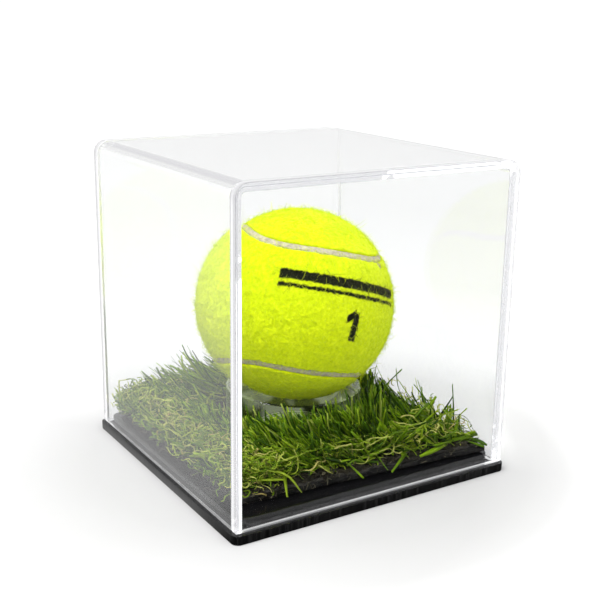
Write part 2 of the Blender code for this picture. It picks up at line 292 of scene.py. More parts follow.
class Nodes:
    """Short spellings for building the nodes of a material, or of the world."""

    def __init__(self, name, owner=None):
        self.owner = owner or bpy.data.materials.new(name)
        self.owner.use_nodes = True
        self.tree = self.owner.node_tree
        self.shader = next(node for node in self.tree.nodes if len(node.outputs))
        self.output = next(node for node in self.tree.nodes if not len(node.outputs))
        self.place = None

    def add(self, kind, **settings):
        node = self.tree.nodes.new("ShaderNode" + kind)
        for key, value in settings.items():
            setattr(node, key, value)
        return node

    def link(self, source, target):
        self.tree.links.new(source, target)

    def give(self, socket, value):
        """Sets a socket to a number or colour, or links it to another node's output."""
        if isinstance(value, tuple):
            socket.default_value = (*value, 1.0)
        elif isinstance(value, (int, float)):
            socket.default_value = value
        else:
            self.link(value, socket)

    def set(self, **values):
        for key, value in values.items():
            self.give(self.shader.inputs[key.replace("_", " ")], value)

    def noise(self, scale, detail=3.0, roughness=0.55, stretch=None):
        node = self.add("TexNoise")
        for key, value in (("Scale", scale), ("Detail", detail), ("Roughness", roughness)):
            node.inputs[key].default_value = value
        source = self.coords()
        if stretch is not None:
            mapping = self.add("Mapping")
            mapping.inputs["Scale"].default_value = stretch
            self.link(source, mapping.inputs["Vector"])
            source = mapping.outputs["Vector"]
        self.link(source, node.inputs["Vector"])
        return node.outputs["Fac"]

    def coords(self):
        self.place = self.place or self.add("TexCoord").outputs["Object"]
        return self.place

    def attribute(self, name):
        return self.add("Attribute", attribute_name=name).outputs["Fac"]

    def dot(self, source, direction):
        """How far source lies in a direction."""
        node = self.add("VectorMath", operation="DOT_PRODUCT")
        self.link(source, node.inputs[0])
        node.inputs[1].default_value = direction
        return node.outputs["Value"]

    def past(self, kind, limit):
        """1 on a light path with more turns of this kind than the limit."""
        return self.math("GREATER_THAN", self.add("LightPath").outputs[kind + " Depth"], limit)

    def ramp(self, source, *stops):
        """Colours along a scale; a plain number stands for a grey."""
        node = self.add("ValToRGB")
        elements = node.color_ramp.elements
        while len(elements) < len(stops):
            elements.new(0.5)
        for element, (place, colour) in zip(elements, stops):
            element.position = place
            element.color = (*colour, 1.0) if isinstance(colour, tuple) else (colour, colour, colour, 1.0)
        self.link(source, node.inputs["Fac"])
        return node.outputs["Color"]

    def steps(self, source, low, high, out_low=0.0, out_high=1.0):
        node = self.add("MapRange", clamp=True)
        limits = {"From Min": low, "From Max": high, "To Min": out_low, "To Max": out_high}
        for key, value in limits.items():
            node.inputs[key].default_value = value
        self.link(source, node.inputs["Value"])
        return node.outputs["Result"]

    def math(self, operation, first, second):
        node = self.add("Math", operation=operation)
        for socket, value in zip(node.inputs, (first, second)):
            self.give(socket, value)
        return node.outputs["Value"]

    def mix(self, factor, first, second, blend="MIX"):
        node = self.add("Mix", data_type="RGBA", blend_type=blend)
        self.give(node.inputs["Factor"], factor)
        for key, value in (("A_Color", first), ("B_Color", second)):
            self.give(next(s for s in node.inputs if s.identifier == key), value)
        return next(s for s in node.outputs if s.identifier == "Result_Color")

    def bump(self, height, distance, strength=1.0):
        node = self.add("Bump")
        node.inputs["Strength"].default_value = strength
        node.inputs["Distance"].default_value = distance
        self.link(height, node.inputs["Height"])
        self.link(node.outputs["Normal"], self.shader.inputs["Normal"])

    def glow(self, **values):
        node = self.add("Emission")
        for key, value in values.items():
            self.give(node.inputs[key], value)
        return node.outputs["Emission"]

    def swap(self, factor, other):
        """Another shader takes the place of this one as far as factor says."""
        mixer = self.add("MixShader")
        self.give(mixer.inputs["Fac"], factor)
        self.link(self.shader.outputs["BSDF"], mixer.inputs[1])
        self.link(other, mixer.inputs[2])
        self.link(mixer.outputs["Shader"], self.output.inputs["Surface"])

    def pipe_light(self, brightness):
        """Painted glow that stands in for light running on inside: a path ends in it after three inner
        reflections or seven turns.
        """
        ended = self.math("MAXIMUM", self.past("Glossy", 2.5), self.past("Ray", 6.5))
        self.swap(ended, self.glow(Color=brightness))


def clear_acrylic(name, tint, haze):
    """Polished clear sheet: very fine scuffs and smears, mostly seen in its reflections."""
    nodes = Nodes(name)
    nodes.set(Base_Color=tint, Transmission_Weight=1.0, IOR=1.49)
    nodes.set(Roughness=nodes.steps(nodes.noise(28.0, 4.0, 0.6), 0.35, 0.75, 0.0, haze))
    nodes.bump(nodes.noise(9.0, 2.0), 0.00004)
    nodes.pipe_light(PIPED_LIGHT)
    return nodes.owner


def ring_acrylic():
    """Cast clear ring with soft pale blotches of painted glow; its inside ends in a green painted glow."""
    nodes = Nodes("ring_acrylic")
    nodes.set(Base_Color=(0.92, 0.96, 0.86), Transmission_Weight=1.0, IOR=1.49)
    nodes.set(Roughness=nodes.steps(nodes.noise(60.0, 4.0, 0.6), 0.35, 0.75, 0.0, 0.05))
    # Painted glow in soft pale blotches over the ring.
    painted_glow_patches = nodes.steps(nodes.noise(48.0, 1.0), 0.54, 0.62, 0.0, 0.12)
    nodes.set(Emission_Color=(0.90, 0.98, 0.74), Emission_Strength=painted_glow_patches)
    nodes.bump(nodes.noise(25.0, 2.0), 0.00005)
    nodes.pipe_light(GRASS_LIGHT)
    return nodes.owner


def cut_acrylic(name, tint, low, high, white, painted_glint=0.0):
    """A sawn and scraped edge of clear sheet that glows faintly with painted light; a panel's has a painted
    white glint line and a painted dark line along it.
    """
    nodes = Nodes(name)
    nodes.set(Base_Color=tint, Transmission_Weight=0.85, IOR=1.49)
    # The emission is a painted glow over the whole cut edge.
    nodes.set(Emission_Color=(0.96, 0.96, 0.97), Emission_Strength=white)
    if painted_glint:
        split = nodes.add("SeparateXYZ")
        nodes.link(nodes.coords(), split.inputs["Vector"])
        depth = nodes.math("ABSOLUTE", split.outputs["Y"], 0.0)
        # Painted glint: a white emissive line beside the joint, weaker toward the top.
        upright = nodes.steps(split.outputs["Z"], 102.0 * MM, 107.0 * MM, 1.0, 0.3)
        line = nodes.steps(depth, 50.6 * MM, 51.1 * MM, painted_glint, white)
        nodes.set(Emission_Strength=nodes.math("MULTIPLY", upright, line))
        # Painted shade: the outermost strip of the rim is darkened in place of a dark reflection.
        edge = nodes.steps(depth, 52.0 * MM, 52.2 * MM)
        nodes.set(Base_Color=nodes.mix(edge, tint, (0.42, 0.42, 0.44)))
    nodes.set(Roughness=nodes.steps(nodes.noise(500.0, 4.0), 0.3, 0.7, low, high))
    nodes.bump(nodes.noise(900.0, 2.0), 0.00001)
    nodes.pipe_light(PIPED_LIGHT)
    return nodes.owner


def black_acrylic(name, polish):
    """Black sheet: dust, faint smears and hairline scratches on a glossy face."""
    nodes = Nodes(name)
    dust = nodes.math("MULTIPLY", nodes.steps(nodes.noise(2200.0, 2.0), 0.70, 0.80), 0.10)
    nodes.set(IOR=1.49, Base_Color=nodes.mix(dust, (0.0035, 0.0035, 0.004), (0.35, 0.34, 0.32)))
    nodes.set(Roughness=nodes.steps(nodes.noise(60.0, 5.0), 0.3, 0.8, polish, polish + 0.14))
    nodes.bump(nodes.noise(90.0, 8.0, 0.8, stretch=(1.0, 14.0, 1.0)), 0.000012)
    return nodes.owner


def sawn_black(name, gloss):
    """The cut sides of the black sheet: upright saw marks, satin."""
    nodes = Nodes(name)
    marks = nodes.noise(900.0, 3.0, 0.6, stretch=(1.0, 1.0, 0.02))
    nodes.set(IOR=1.49, Specular_IOR_Level=gloss, Base_Color=nodes.ramp(marks, (0.35, 0.003), (0.8, 0.02)))
    nodes.set(Roughness=nodes.steps(marks, 0.3, 0.7, 0.04, 0.14))
    nodes.bump(marks, 0.000012)
    return nodes.owner


def blade_material(name, stops, roughness, glow):
    """Grass or thatch: colour by strand, darker toward the root with painted shade, ribbed, and lit through
    from behind.
    """
    nodes = Nodes(name)
    colour = nodes.ramp(nodes.attribute("tint"), *stops)
    mottled = nodes.mix(nodes.noise(500.0, 3.0), (0.45, 0.45, 0.45), (1.0, 1.0, 1.0))
    colour = nodes.mix(0.6, colour, mottled, "MULTIPLY")
    # Painted shade: the lowest part of each strand is darkened, where the pile would shade it.
    root = nodes.ramp(nodes.attribute("along"), (0.0, (0.45, 0.45, 0.40)), (0.35, 0.9),
                      (1.0, (1.0, 1.0, 0.95)))
    colour = nodes.mix(1.0, colour, root, "MULTIPLY")
    nodes.set(Base_Color=colour, Roughness=roughness, IOR=1.5, Specular_IOR_Level=0.25)
    nodes.bump(nodes.noise(3000.0, 2.0, 0.5, stretch=(1.0, 1.0, 0.15)), 0.00004)
    through = nodes.add("BsdfTranslucent")
    nodes.link(colour, through.inputs["Color"])
    nodes.swap(glow, through.outputs["BSDF"])
    return nodes.owner


def felt_material(name, fuzz):
    """Tennis felt: yellow-green wool and nylon, printed black where the ink attribute says."""
    nodes = Nodes(name)
    tone = nodes.noise(500.0 if fuzz else 900.0, 3.0, 0.65)
    colour = nodes.ramp(tone, (0.25, (0.53, 0.665, 0.004)), (0.55, (0.725, 0.85, 0.006)),
                        (0.8, (0.86, 0.93, 0.03)))
    patch = nodes.ramp(nodes.noise(70.0, 3.0), (0.3, (0.90, 0.93, 0.85)), (0.7, 1.0))
    colour = nodes.mix(1.0, colour, patch, "MULTIPLY")
    colour = nodes.mix(nodes.attribute("ink"), colour, (0.006, 0.008, 0.003))
    colour = nodes.mix(nodes.attribute("bare"), colour, (0.40, 0.36, 0.26))
    nodes.set(Base_Color=colour, Roughness=0.95, Specular_IOR_Level=0.06)
    nodes.set(Sheen_Weight=0.15, Sheen_Roughness=0.5, Sheen_Tint=(1.0, 1.0, 0.6))
    if not fuzz:
        nodes.bump(nodes.noise(2600.0, 4.0, 0.7), 0.0004, 0.8)
    return nodes.owner


def seam_material():
    nodes = Nodes("seam_rubber_worn")
    colour = nodes.ramp(nodes.noise(700.0, 4.0, 0.7), (0.3, (0.30, 0.27, 0.19)),
                        (0.6, (0.55, 0.50, 0.38)), (0.8, (0.62, 0.60, 0.42)))
    nodes.set(Base_Color=colour, Roughness=0.85)
    nodes.bump(nodes.noise(1800.0, 4.0), 0.0002)
    return nodes.owner


def ragged_material(name, dark, light, scale):
    """Paper, latex, rubber or crumbs: blotched from dark to light, with a rough surface."""
    nodes = Nodes(name)
    worn = tuple(2.2 * c for c in light)
    nodes.set(Base_Color=nodes.ramp(nodes.noise(scale, 5.0, 0.7), (0.35, dark), (0.62, light), (0.85, worn)))
    nodes.set(Roughness=0.92, Specular_IOR_Level=0.2)
    nodes.bump(nodes.noise(scale * 2.0, 4.0), 0.0003)
    return nodes.owner


def woven_material():
    """Woven backing: two sets of flat tapes over and under each other."""
    nodes = Nodes("backing_weave")
    weave = nodes.add("TexChecker")
    weave.inputs["Scale"].default_value = 800.0
    nodes.link(nodes.coords(), weave.inputs["Vector"])
    tone = nodes.mix(weave.outputs["Fac"], (0.020, 0.019, 0.016), (0.040, 0.038, 0.032))
    dust = nodes.math("MULTIPLY", nodes.noise(300.0, 4.0), 0.35)
    nodes.set(Base_Color=nodes.mix(dust, tone, (0.12, 0.11, 0.09)), Roughness=0.9)
    nodes.bump(nodes.noise(1500.0, 3.0), 0.0002)
    return nodes.owner


def glue_material():
    """Cement in the joint: clear where it has wetted the sheet and white where bubbles are left, the white
    glowing with painted light. The line attribute paints grey lines along it in place of darker reflections.
    """
    nodes = Nodes("joint_cement")
    level = nodes.math("ADD", nodes.math("MULTIPLY", nodes.attribute("frost"), 1.1),
                       nodes.noise(260.0, 5.0, 0.75))
    seen = nodes.steps(level, 0.92, 1.12, 0.05, 0.92)
    line = nodes.attribute("line")
    # Painted shade: grey lines where the line attribute says; painted glow: emission over the white cement.
    nodes.set(Roughness=0.4, IOR=1.45, Alpha=nodes.math("MAXIMUM", seen, nodes.math("MULTIPLY", line, 0.75)))
    nodes.set(Base_Color=nodes.mix(line, (0.97, 0.97, 0.98), (0.30, 0.30, 0.33)))
    nodes.set(Emission_Color=(0.97, 0.98, 1.0), Emission_Strength=nodes.steps(line, 0.0, 0.6, 0.42, 0.10))
    return nodes.owner


# ---------------------------------------------------------------- plates


def rounded_square(side, corner, steps, run):
    """Points round a square with rounded corners, run points along each side."""
    half = side / 2 - corner
    points = []
    for quarter in range(4):
        turn = quarter * math.pi / 2
        middle = Matrix.Rotation(turn, 2) @ Vector((half, half))
        for step in range(steps + 1):
            angle = turn + math.pi / 2 * step / steps
            points.append(middle + corner * Vector((math.cos(angle), math.sin(angle))))
        angle = turn + math.pi / 2
        last = points[-1]
        following = Matrix.Rotation(angle, 2) @ Vector((half, half))
        following = following + corner * Vector((math.cos(angle), math.sin(angle)))
        for step in range(1, run):
            points.append(last.lerp(following, step / run))
    return np.array([tuple(point) for point in points])


def make_plate(name, node, corner, materials, seed):
    """A black sheet with rounded corners, broken edges and saw-marked sides."""
    low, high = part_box(node)
    side = high.x - low.x
    outline = rounded_square(side, corner, 10, 240)
    outward = unit(outline - np.clip(outline, -(side / 2 - corner), side / 2 - corner) + 1e-9)
    flat = np.column_stack([outline, np.zeros(len(outline))])
    saw = lattice_noise(flat, 0.45 * MM, seed) + 0.6 * lattice_noise(flat, 1.3 * MM, seed + 1)
    levels = [
        (PLATE_EDGE * 6, low.z), (PLATE_EDGE, low.z), (PLATE_EDGE * 0.3, low.z + PLATE_EDGE * 0.3),
        (0.0, low.z + PLATE_EDGE), (0.0, low.z + 0.9 * MM), (0.0, low.z + 1.8 * MM),
        (0.0, high.z - PLATE_EDGE), (PLATE_EDGE * 0.3, high.z - PLATE_EDGE * 0.3),
        (PLATE_EDGE, high.z), (PLATE_EDGE * 6, high.z),
    ]
    rows = []
    for inset, height in levels:
        depth = SAW_DEPTH * (1.0 + saw) if inset == 0.0 else np.zeros(len(saw))
        ring = outline - outward * (inset + depth)[:, None]
        rows.append(np.column_stack([ring, np.full(len(ring), height)]))
    count = len(outline)
    walls = grid_faces(len(rows), count, wrap_columns=True).reshape(len(rows) - 1, count, 4)
    sides = walls[2:6].reshape(-1, 4)
    edges = np.concatenate([walls[:2], walls[6:]]).reshape(-1, 4)
    bottom = np.arange(count)[::-1][None, :]
    top = (np.arange(count) + (len(rows) - 1) * count)[None, :]
    piece = make_mesh(name, np.concatenate(rows), [sides, edges, bottom, top], [1, 0, 0, 0])
    finish_piece(piece, materials, "base", [node], sharp_angle=40)


# ---------------------------------------------------------------- cover


def arch(low, high, radius, foot):
    """Up one side of the cover, over its two bends and down again: x and z."""
    line = [(low.x + BEND_RADIUS - radius, foot)]
    top = high.z - BEND_RADIUS
    for start, centre in ((math.pi, low.x + BEND_RADIUS), (math.pi / 2, high.x - BEND_RADIUS)):
        for step in range(BEND_STEPS + 1):
            angle = start - math.pi / 2 * step / BEND_STEPS
            line.append((centre + radius * math.cos(angle), top + radius * math.sin(angle)))
    return line + [(high.x - BEND_RADIUS + radius, foot)]


def panel_section(low, high, inset):
    return np.array(arch(low, high, BEND_RADIUS - inset, low.z + inset))


def fold_section(low, high, inset):
    """Closed section of the folded sheet, moved in from its faces by inset."""
    outer, inner = (arch(low, high, radius, low.z + inset)
                    for radius in (BEND_RADIUS - inset, BEND_RADIUS - SHEET + inset))
    return np.array(outer + inner[::-1])


def broken_rows(low, high, section):
    """A section from the front face to the back one, with its sharp edges broken at both."""
    rows = []
    for y, inset in ((low.y, EDGE_BREAK), (low.y + EDGE_BREAK, 0.0),
                     (high.y - EDGE_BREAK, 0.0), (high.y, EDGE_BREAK)):
        line = section(low, high, inset)
        rows.append(np.column_stack([line[:, 0], np.full(len(line), y), line[:, 1]]))
    return np.concatenate(rows), len(rows[0])


def finish_cover(piece, materials, replaces=(), sharp_angle=None):
    finish_piece(piece, materials, "cover", replaces, sharp_angle, casts_shadow=False)


def make_wrap(materials):
    points, count = broken_rows(*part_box("cover_folded_wrap"), fold_section)
    half = count // 2
    walls = grid_faces(4, count, wrap_columns=True).reshape(3, count, 4)
    clear = np.delete(walls[1], [half - 1, count - 1], axis=0)
    cut = np.concatenate([walls[0], walls[2], walls[1][[half - 1, count - 1]]])
    index = np.arange(half - 1)
    front = np.stack([index, index + 1, count - 2 - index, count - 1 - index], axis=-1)
    back = front[:, ::-1] + 3 * count
    piece = make_mesh("cover_folded_sheet", points, [clear, cut, front, back], [0, 1, 1, 1])
    flip_if_inside_out(piece)
    finish_cover(piece, materials, ["cover_folded_wrap"], 30)


def make_panel(name, node, materials):
    """A flat panel with rounded top corners; its rim is scraped, not polished."""
    points, count = broken_rows(*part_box(node), panel_section)
    rim = grid_faces(4, count, wrap_columns=True)
    front = np.arange(count)[None, :]
    back = (np.arange(count)[::-1] + 3 * count)[None, :]
    piece = make_mesh(name, points, [rim, front, back], [1, 0, 0])
    flip_if_inside_out(piece)
    finish_cover(piece, materials, [node], 30)


def make_glue(name, panel, material, seed):
    """The thin line of cement between the wrap's cut edge and a panel."""
    low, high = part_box("cover_folded_wrap")
    panel_low, panel_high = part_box(panel)
    front = panel_high.y < 0.0
    gap = 0.02 * MM
    faces = (panel_high.y + gap, low.y - gap) if front else (high.y + gap, panel_low.y - gap)
    section = fold_section(low, high, 0.15 * MM)
    half = len(section) // 2
    outer, inner = section[:half], section[half:][::-1]
    lengths = np.concatenate([[0.0], np.cumsum(np.linalg.norm(np.diff(outer, axis=0), axis=1))])
    rows, columns = 900, 9
    along = np.linspace(0.0, lengths[-1], rows)
    across = np.linspace(0.0, 1.0, columns)[None, :, None]
    outer, inner = (np.column_stack([np.interp(along, lengths, line[:, axis]) for axis in (0, 1)])[:, None, :]
                    for line in (outer, inner))
    flat = outer * (1 - across) + inner * across
    points = np.concatenate([
        np.dstack([flat[..., 0], np.full(flat.shape[:2], y), flat[..., 1]]).reshape(-1, 3) for y in faces])
    near = grid_faces(rows, columns)
    far = near[:, ::-1] + rows * columns
    rim = np.concatenate([
        np.arange(columns), np.arange(1, rows) * columns + columns - 1,
        (rows - 1) * columns + np.arange(columns - 2, -1, -1), np.arange(rows - 2, 0, -1) * columns,
    ])
    following = np.roll(rim, -1)
    walls = np.stack([rim, rim + rows * columns, following + rows * columns, following], axis=-1)
    piece = make_mesh(name, points, [np.concatenate([near, far, walls])])
    flip_if_inside_out(piece)
    x, z = points[:, 0], points[:, 2]
    wander = 5.0 * MM * rough_noise(points, 5.0 * MM, seed)
    # Frosted stretches of cement: white where bubbles are left, and glowing there with the glue's painted
    # light.
    on_left = 1.2 * smoothstep(92.0 * MM, 74.0 * MM, z + wander) * (x < -49.0 * MM)
    on_top = 1.2 * smoothstep(0.0, 7.0 * MM, x + wander) * (z > high.z - SHEET - 0.5 * MM)
    on_top = on_top * smoothstep(45.0 * MM, 40.0 * MM, x)
    low_right = 0.42 * smoothstep(27.0 * MM, 12.0 * MM, z + wander) * (x > 0)
    high_right = 0.45 * smoothstep(98.0 * MM, 104.0 * MM, z + wander) * (x > 40.0 * MM)
    add_value(piece, "frost", np.clip(on_left + on_top + low_right + high_right, 0.0, 1.2))
    # Painted grey lines along the cement, in place of darker reflections at the joint.
    column = np.tile(np.arange(columns), 2 * rows)
    at_right = x > 45.0 * MM
    lines = 0.9 * (column == 4) * ~at_right + 0.6 * (column == 7) * at_right + 0.5 * (column == 0)
    add_value(piece, "line", lines * (1.0 if front else 0.2))
    finish_cover(piece, material)


# ---------------------------------------------------------------- turf


def turf_edge(angles, raggedness, outline=TURF_CORNERS):
    """Distance from the middle to the turf's cut edge in each direction."""
    corners = np.array(outline) * MM
    ahead = np.column_stack([np.cos(angles), np.sin(angles)])
    reach = np.full(len(angles), np.inf)
    for first, second in zip(corners, np.roll(corners, -1, axis=0)):
        edge = second - first
        outward = np.array([edge[1], -edge[0]]) / np.linalg.norm(edge)
        facing = np.maximum(ahead @ outward, 1e-6)
        reach = np.where(facing > 1e-6, np.minimum(reach, (first @ outward) / facing), reach)
    edge_points = np.column_stack([ahead * reach[:, None], np.zeros(len(angles))])
    return reach + raggedness * (rough_noise(edge_points, 5.0 * MM, TURF_SEED, 4) - 0.6)


def make_turf_layer(name, node, levels, raggedness, lumps, material, outline=TURF_CORNERS):
    """A flat layer with a torn outer edge and the ring's hole through it."""
    low, high = levels
    rings = 26
    angles = np.linspace(0.0, math.tau, 900, endpoint=False)
    ahead = np.column_stack([np.cos(angles), np.sin(angles)])
    reach = turf_edge(angles, raggedness, outline)
    shares = np.linspace(0.0, 1.0, rings)
    circles = [(share, high, True) for share in shares]
    circles += [(1.0, height, False) for height in np.linspace(high, low, 5)[1:-1]]
    circles += [(share, low, False) for share in shares[::-1][::5]]
    rows = []
    for share, height, lumpy in circles:
        flat = ahead * (TURF_HOLE + (reach - TURF_HOLE) * share)[:, None]
        points = np.column_stack([flat, np.full(len(angles), height)])
        if lumpy:
            points[:, 2] += lumps * rough_noise(points, 2.2 * MM, TURF_SEED + 7, 4)
        if share == 1.0:
            push = 0.5 * raggedness * rough_noise(points, 0.8 * MM, TURF_SEED + 11, 3)
            points[:, :2] += ahead * push[:, None]
        rows.append(points)
    faces = grid_faces(len(rows), len(angles), wrap_rows=True, wrap_columns=True)
    piece = make_mesh(name, np.concatenate(rows), [faces])
    flip_if_inside_out(piece)
    finish_piece(piece, material, "base", [node])


def scatter_roots(rng, count, inset, hole):
    """Random points on the turf, clear of the ring's hole and a little in from the edge."""
    kept = []
    total = 0
    while total < count:
        flat = rng.uniform(-48 * MM, 48 * MM, (count * 2, 2))
        angle = np.arctan2(flat[:, 1], flat[:, 0])
        radius = np.linalg.norm(flat, axis=1)
        good = flat[(radius < turf_edge(angle, 0.0) - inset) & (radius > hole)]
        kept.append(good)
        total += len(good)
    return np.concatenate(kept)[:count]


def keep_clear(lines, width):
    """Moves strand points out of the ring, the ball and the cover's walls."""
    lines = lines.copy()
    clearance = RING_OUTER + 0.4 * MM + width
    limit = BALL_RADIUS + 0.6 * MM + width
    for _ in range(3):
        radius = np.linalg.norm(lines[..., :2], axis=-1)
        inside = (radius < clearance) & (lines[..., 2] < RING_TOP + 0.5 * MM)
        lines[..., :2] *= np.where(inside, clearance / np.maximum(radius, 1e-6), 1.0)[..., None]
        offset = lines - BALL_CENTRE
        distance = np.linalg.norm(offset, axis=-1)
        scale = np.where(distance < limit, limit / np.maximum(distance, 1e-6), 1.0)
        lines = BALL_CENTRE + offset * scale[..., None]
        for axis, reach in enumerate(STRAND_LIMITS):
            lines[..., axis] = np.clip(lines[..., axis], -reach, reach)
    lines[..., 2] = np.maximum(lines[..., 2], STRAND_LOWEST)
    return lines


def blade_lines(roots, length, azimuth, tilt, droop, swerve, points):
    """Centre lines of blades that lean by tilt, bend over by droop and turn aside by swerve."""
    share = np.linspace(0.0, 1.0, points)[None, :]
    bend = np.clip(tilt[:, None] + droop[:, None] * share, 0.0, 1.9)
    turned = azimuth[:, None] + swerve[:, None] * share
    step = length[:, None] / (points - 1)
    moves = np.stack([np.sin(bend) * np.cos(turned) * step, np.sin(bend) * np.sin(turned) * step,
                      np.cos(bend) * step], axis=-1)
    lines = np.cumsum(moves, axis=1) - moves[:, :1]
    return lines + np.column_stack([roots, np.full(len(roots), TURF_GROUND)])[:, None, :]


def ring_reach(lines):
    """Share of each blade that lies outside the ring and the ball."""
    radius = np.linalg.norm(lines[..., :2], axis=-1)
    blocked = (radius < RING_OUTER + 0.3 * MM) & (lines[..., 2] < RING_TOP)
    blocked |= np.linalg.norm(lines - BALL_CENTRE, axis=-1) < BALL_RADIUS
    free = np.cumsum(blocked, axis=1) == 0
    return free.sum(axis=1) / lines.shape[1]


def taper(count, points, size, rng, tip):
    share = np.linspace(0.0, 1.0, points)[None, :]
    shape = np.minimum(1.0, 0.6 + 2.2 * share) * (1.0 - (1.0 - tip) * smoothstep(0.5, 1.0, share))
    return shape * (size * rng.uniform(0.7, 1.2, count))[:, None]


def tufted_roots(rng, count, settings):
    """Roots in tufts: all over, nearest the front edge, or nearest the ring."""
    tufts = math.ceil(count / settings["tuft"])
    centres = scatter_roots(rng, 4 * tufts, settings["inset"], TURF_HOLE + 0.3 * MM)
    if settings["near"] == "front":
        away = centres[:, 1] + rng.normal(0.0, 6 * MM, len(centres))
    if settings["near"] == "ring":
        away = np.linalg.norm(centres, axis=1) + 12 * MM * (centres[:, 1] > 2 * MM)
        away = away + rng.normal(0.0, 1.5 * MM, len(centres))
    if settings["near"]:
        centres = centres[np.argsort(away)]
    centres = np.repeat(centres[:tufts], settings["tuft"], axis=0)[:count]
    return centres + rng.normal(0.0, 0.45 * MM, (count, 2))


def behind_edge(lines, overhang):
    """Moves whole strands back so that they end at the turf's front and right edges."""
    left, right = np.array(TURF_CORNERS[:2]) * MM
    edge = np.interp(lines[..., 0], (left[0], right[0]), (left[1], right[1])) - overhang
    back = np.maximum(edge - lines[..., 1], 0.0).max(axis=1)
    inward = np.maximum(lines[..., 0] - right[0] - overhang, 0.0).max(axis=1)
    lines = lines.copy()
    lines[..., 1] += back[:, None]
    lines[..., 0] -= inward[:, None]
    return lines


def pile_heading(roots):
    """Level lean of the pile at each root: it runs round the ring where it would run into it."""
    lean = np.array(PILE_LEAN)
    outward = unit(roots)
    toward = np.minimum(outward @ lean, 0.0)
    near = 0.95 * smoothstep(40 * MM, 28 * MM, np.linalg.norm(roots, axis=1))
    return lean - outward * (toward * near)[:, None]


def pile_height(roots):
    """How long the blades are here against the longest ones, at the left of the back edge."""
    x, y = roots[:, 0], roots[:, 1]
    front = 1.0 - 0.12 * smoothstep(-8 * MM, -26 * MM, y) - 0.42 * smoothstep(-31 * MM, -43 * MM, y)
    right = 1.0 - 0.30 * smoothstep(10 * MM, 36 * MM, x)
    left = 1.0 - 0.55 * smoothstep(-6 * MM, -42 * MM, x)
    return front * right * left


def make_blades(name, rng, count, material, replaces=(), **changes):
    settings = dict(COMBED, **changes)
    points, width = settings["points"], settings["width"] * MM / 2
    roots = tufted_roots(rng, count, settings)
    length = rng.uniform(*settings["length"], count) * MM * pile_height(roots)
    loose = settings["spread"] * (1.0 + 1.6 * smoothstep(-24 * MM, -44 * MM, roots[:, 1]))
    heading = pile_heading(roots)
    azimuth = np.arctan2(heading[:, 1], heading[:, 0]) + rng.normal(0.0, 1.0, count) * loose
    lean = settings["lean"] * (0.45 + 0.55 * np.linalg.norm(heading, axis=1))
    lean = lean * (1.0 - 0.20 * smoothstep(-16 * MM, -28 * MM, roots[:, 1]))
    tilt = np.clip(lean + rng.normal(0.0, settings["lean_spread"], count), 0.0, 1.45)
    droop = rng.normal(settings["droop"], 0.28, count)
    swerve = rng.normal(0.0, 0.25, count)
    reach = ring_reach(blade_lines(roots, length, azimuth, tilt, droop, swerve, points))
    keep = reach > rng.uniform(0.25, 0.75, count)
    length = length * np.minimum(1.0, reach * 1.1)
    lines = blade_lines(roots, length, azimuth, tilt, droop, swerve, points)[keep]
    azimuth = azimuth[keep]
    count = len(lines)
    lines = keep_clear(behind_edge(lines, 0.6 * MM), width)
    roll = rng.normal(0.0, settings["roll"], count)
    beside = np.stack([-np.sin(azimuth), np.cos(azimuth), np.zeros(count)], axis=-1)
    facing = np.cos(roll)[:, None] * np.array([0.0, 0.0, 1.0]) + np.sin(roll)[:, None] * beside
    widths = taper(count, points, width, rng, settings["tip"])
    piece = make_strands(name, lines, widths, widths * settings["flatness"], facing[:, None, :] + 0.02,
                         settings["sides"], {"tint": rng.random(count)})
    finish_piece(piece, material, "base", replaces)


def bent_line(knots, points):
    """A smooth line through a few knots given in millimetres."""
    knots = np.array(knots) * MM
    padded = np.concatenate([[2 * knots[0] - knots[1]], knots, [2 * knots[-1] - knots[-2]]])
    line = []
    for share in np.linspace(0.0, len(knots) - 1.0001, points):
        index = int(share)
        t = share - index
        a, b, c, d = padded[index:index + 4]
        line.append(0.5 * (2 * b + (c - a) * t + (2 * a - 5 * b + 4 * c - d) * t**2
                           + (3 * b - a - 3 * c + d) * t**3))
    return np.array(line)


def make_loose_blades(material):
    """The long single blades that lie over the front edge or stand up at the right."""
    points = 12
    knots, widths, tints = zip(*LOOSE_BLADES)
    lines = keep_clear(np.stack([bent_line(line, points) for line in knots]), 0.3 * MM)
    size = np.array(widths)[:, None] * MM / 2
    share = np.linspace(0.0, 1.0, points)[None, :]
    waist = 0.8 + 0.2 * np.sin(7.0 * share + 90.0 * size / MM)
    widths = size * (1.0 - 0.25 * smoothstep(0.8, 1.0, share)) * waist
    thin = np.where(size > 0.5 * MM, 0.14, 0.5)
    facing = np.array([0.1, -0.75, 0.65])
    piece = make_strands("grass_blades_loose", lines, widths, widths * thin, facing, 4,
                         {"tint": np.array(tints)})
    finish_piece(piece, material, "base")


